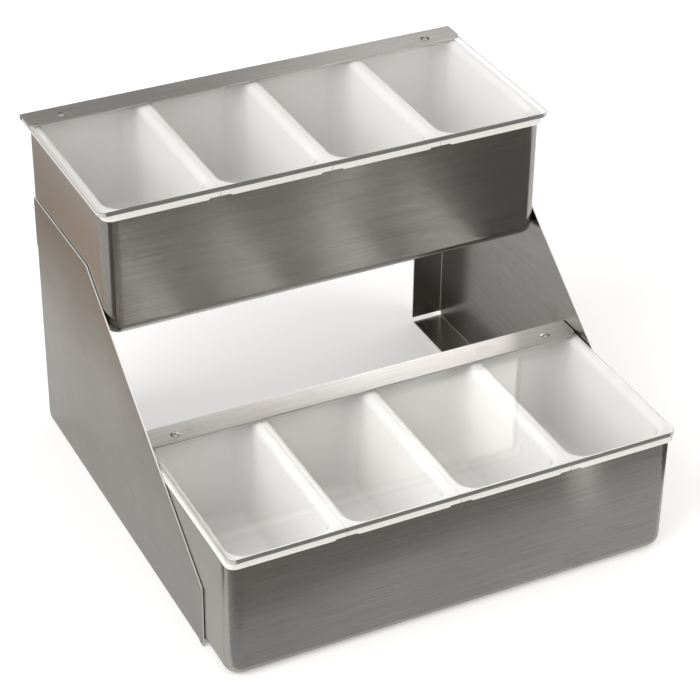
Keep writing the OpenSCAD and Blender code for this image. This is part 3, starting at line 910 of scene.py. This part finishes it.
class CADDY_OT_make_rivets(bpy.types.Operator):
    """Builds the rivets that hold each strip to its clear sheet"""

    bl_idname = "caddy.make_rivets"
    bl_label = "Make Rivets"

    def execute(self, context):
        s = context.scene.caddy_lids
        material = kept_material("rivet_steel", bright_steel,
                                 context.scene.caddy_steel.bright_colour[:])
        for tier in TIERS:
            low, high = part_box(tier + "_lid_rivets")
            top = high.z - s.rivet_dome
            head, shank = s.rivet_head / 2, s.rivet_shank / 2
            ball = (head ** 2 + s.rivet_dome ** 2) / (2 * s.rivet_dome)
            span = math.asin(head / ball)
            tail, soft = 0.0025, 0.0001
            profile = [(tail - TINY, low.z), (tail, low.z + TINY), (tail, low.z + s.rivet_tail),
                       (shank, low.z + s.rivet_tail), (shank, top), (head - soft, top),
                       (head, top + soft)]
            turns = (span * (1 - f) for f in (0.15, 0.3, 0.45, 0.6, 0.75, 0.88, 0.97))
            profile += [(ball * math.sin(a), high.z - ball * (1 - math.cos(a))) for a in turns]
            bm = bmesh.new()
            lathe(bm, profile, Matrix.Identity(4), 36)
            source = piece_object("rivet", bm)
            half = (high.x - low.x) / 2 - head
            obj = row_of(tier + "_lid_rivets_set", source, 2, (-half, (low.y + high.y) / 2, 0),
                         (2 * half, 0, 0), material)
            dress(obj, material, tier + "_lid", "rivet_steel", tier + "_lid_rivets")
        return {"FINISHED"}


class CADDY_OT_make_stage(bpy.types.Operator):
    """Lays the floor and sets the lights and the camera"""

    bl_idname = "caddy.make_stage"
    bl_label = "Make Stage"

    def execute(self, context):
        s = context.scene.caddy_stage
        context.scene.view_settings.view_transform = "Standard"
        self.lay_floor(s)
        self.light_room(context, s)
        for lamp in (("key_light", s.key, (-1.4, -0.3, 1.25), (1.7, 1.4), True),
                     ("fill_light", s.fill, (1.1, -1.0, 1.0), (0.9, 1.0), False, (1, 0.97, 0.93)),
                     ("window_light", s.window, (1.35, 1.0, 0.9), (1.5, 1.3))):
            self.set_lamp(*lamp)
        self.set_cards(s)
        self.set_camera(context, s)
        return {"FINISHED"}

    @staticmethod
    def lay_floor(s):
        bm = bmesh.new()
        bmesh.ops.create_grid(bm, x_segments=12, y_segments=12, size=7)
        mesh = bpy.data.meshes.new("floor")
        bm.to_mesh(mesh)
        bm.free()
        mesh.materials.append(
            new_material("floor_paper", floor_paper, s.floor, s.floor_glow, s.mirrored))
        floor = placed("floor", mesh)

    @staticmethod
    def light_room(context, s):
        """World that is light overhead and dim round the object."""
        world = bpy.data.worlds.new("room")
        context.scene.world = world
        tree = empty_tree(world)
        way = node(tree, "ShaderNodeTexCoord").outputs["Generated"]
        rise = blend_range(tree, node(tree, "ShaderNodeSeparateXYZ", {0: way}).outputs["Z"],
                           0, 1, 0.55, 0.95)
        behind = node(tree, "ShaderNodeVectorMath", {0: way, 1: (0.45, 0.89, 0.0)},
                      operation="DOT_PRODUCT").outputs["Value"]
        turn = (-0.4, 0.6)
        room = blend_range(tree, behind, s.front, s.rear, *turn)
        level = blend_range(tree, rise, room, s.dome, 0, 1)
        cool = maths(tree, "MAXIMUM", rise, blend_range(tree, behind, 0, 1, *turn))
        light = node(tree, "ShaderNodeBackground", {
            "Color": blend_colours(tree, cool, (1.0, 0.88, 0.76, 1), (1.0, 0.995, 0.985, 1)),
            "Strength": level})
        node(tree, "ShaderNodeOutputWorld", {0: light.outputs[0]})

    @staticmethod
    def set_lamp(name, radiance, place, size, mirrored=False, rgb=(1, 1, 1)):
        """Soft rectangular lamp; its power is set from its radiance and size.

        Only a mirrored lamp shows in polished surfaces and in the clear sheets.
        """
        lamp = bpy.data.lights.new(name, "AREA")
        lamp.shape = "RECTANGLE"
        lamp.size, lamp.size_y = size
        lamp.energy = radiance * math.pi * size[0] * size[1]
        lamp.color = rgb
        obj = placed(name, lamp)
        obj.location = place
        aim = Vector((0.0, 0.0, 0.1)) - Vector(place)
        obj.rotation_euler = aim.to_track_quat("-Z", "Y").to_euler()
        obj.visible_camera = False
        obj.visible_transmission = obj.visible_glossy = mirrored

    def set_cards(self, s):
        """Glowing and dark cards round the object, inside it and below it, for its surfaces to
        mirror: painted reflections, no lamps.
        """
        # Colours of the painted reflections
        brown, dark, white = (0.52, 0.385, 0.28), (0.13, 0.125, 0.12), (1.0, 0.985, 0.97)

        def wall(start, end, top, foot=0):
            return [(*start, foot), (*end, foot), (*end, top), (*start, top)]

        def flat(x0, x1, y0, y1, z):
            return [(x0, y0, z), (x1, y0, z), (x1, y1, z), (x0, y1, z)]

        facing_down = [flat(-0.14, 0.151, 0.027, 0.15, 0.1372)[k] for k in (0, 3, 2, 1)]
        for card in (
                # Painted reflections in the left panel: a warm brown one low down and a pale one
                # above it
                ("left_card", wall((-0.225, -0.12), (-0.225, 1.3), 0.1), brown, 1.0,
                 ((-0.12, 0.09), (0.22, 0.8)), "Y"),
                ("pale_card", wall((-0.225, -0.02), (-0.225, 1.3), 0.6, 0.1), white, 0.7),
                # Dark cards: painted shade in the reflections of the pans' fronts and corners
                ("near_card", wall((-0.28, -0.7), (-0.28, -0.05), 0.6), dark),
                ("right_card", wall((0.225, -0.75), (0.225, -0.03), 0.16), dark),
                ("front_card", wall((-0.35, -0.19), (0.8, -0.30), 0.3), (0.26, 0.255, 0.25)),
                # Painted reflections of the floor before the object and beneath it
                ("floor_card", flat(-0.5, 0.7, -0.5, -0.162, 0.0008), (0.97, 0.98, 1.0), 0.85,
                 ((-1.2, 0.6), (9, 10))),
                ("under_card", flat(-0.13, 0.149, -0.06, 0.24, 0.0009), (0.99, 0.98, 0.97), 1.02,
                 ((-9, -8), (-0.02, 0.3))),
                # Painted reflections of soft lights, and a painted glint on the lower pan's front
                ("softbox_card", wall((0.62, -1.0), (1.45, -1.0), 1.6, 0.5), white, 5.4),
                ("glint_card", wall((0.125, -0.235), (0.145, -0.235), 0.25), white),
                ("window_card", wall((0.27, 1.0), (0.85, 1.0), 1.3), white, s.glare,
                 ((0.26, 0.55), (0.73, 0.84))),
                # Painted light in the lower strips, glowing down from under the upper pan
                ("bounce_card", facing_down, white, s.bounce, ((-0.24, 0.08), (0.145, 0.19)))):
            self.set_card(*card)

    @staticmethod
    def set_card(name, corners, *glow):
        """Card beside the object that only polished surfaces see: a painted reflection, no lamp.
        """
        mesh = bpy.data.meshes.new(name)
        mesh.from_pydata(corners, [], [(0, 1, 2, 3)])
        mesh.materials.append(new_material(name, card_glow, *glow))
        card = placed(name, mesh)
        for ray in ("camera", "diffuse", "transmission", "volume_scatter", "shadow"):
            setattr(card, "visible_" + ray, False)

    @staticmethod
    def set_camera(context, s):
        camera = bpy.data.cameras.new("camera")
        camera.sensor_width = 36
        camera.lens = s.lens
        camera.clip_start = 0.01
        obj = placed("camera", camera)
        turn = (Matrix.Rotation(-s.azimuth, 4, "Z")
                @ Matrix.Rotation(math.pi / 2 - s.elevation, 4, "X")
                @ Matrix.Rotation(s.roll, 4, "Z"))
        back = Matrix.Translation((0, 0, s.distance))
        obj.matrix_world = Matrix.Translation(s.aim) @ turn @ back
        context.scene.camera = obj


OPERATORS = (CADDY_OT_make_pans, CADDY_OT_make_panels, CADDY_OT_make_inserts,
             CADDY_OT_make_hinges, CADDY_OT_make_strips, CADDY_OT_make_sheets,
             CADDY_OT_make_rivets, CADDY_OT_make_stage)
GROUPS = {"caddy_steel": CaddySteelSettings, "caddy_inserts": CaddyInsertSettings,
          "caddy_lids": CaddyLidSettings, "caddy_stage": CaddyStageSettings}


class CADDY_PT_sidebar(bpy.types.Panel):
    """Lists the caddy's operators and sizes"""

    bl_idname = "CADDY_PT_sidebar"
    bl_label = "Condiment Caddy"
    bl_space_type = "VIEW_3D"
    bl_region_type = "UI"
    bl_category = "Caddy"

    def draw(self, context):
        for operator in OPERATORS:
            self.layout.operator(operator.bl_idname)
        for name, group in GROUPS.items():
            box = self.layout.box()
            box.label(text=group.__doc__)
            for key in group.__annotations__:
                box.prop(getattr(context.scene, name), key)


CLASSES = tuple(GROUPS.values()) + OPERATORS + (CADDY_PT_sidebar,)


def register():
    for cls in CLASSES:
        bpy.utils.register_class(cls)
    for name, group in GROUPS.items():
        setattr(bpy.types.Scene, name, PointerProperty(type=group))


def unregister():
    for name in GROUPS:
        delattr(bpy.types.Scene, name)
    for cls in reversed(CLASSES):
        bpy.utils.unregister_class(cls)


def main():
    """Registers the classes and builds every piece and the stage."""
    register()
    for operator in OPERATORS:
        module, action = operator.bl_idname.split(".")
        getattr(getattr(bpy.ops, module), action)()


if __name__ == "__main__":
    main()
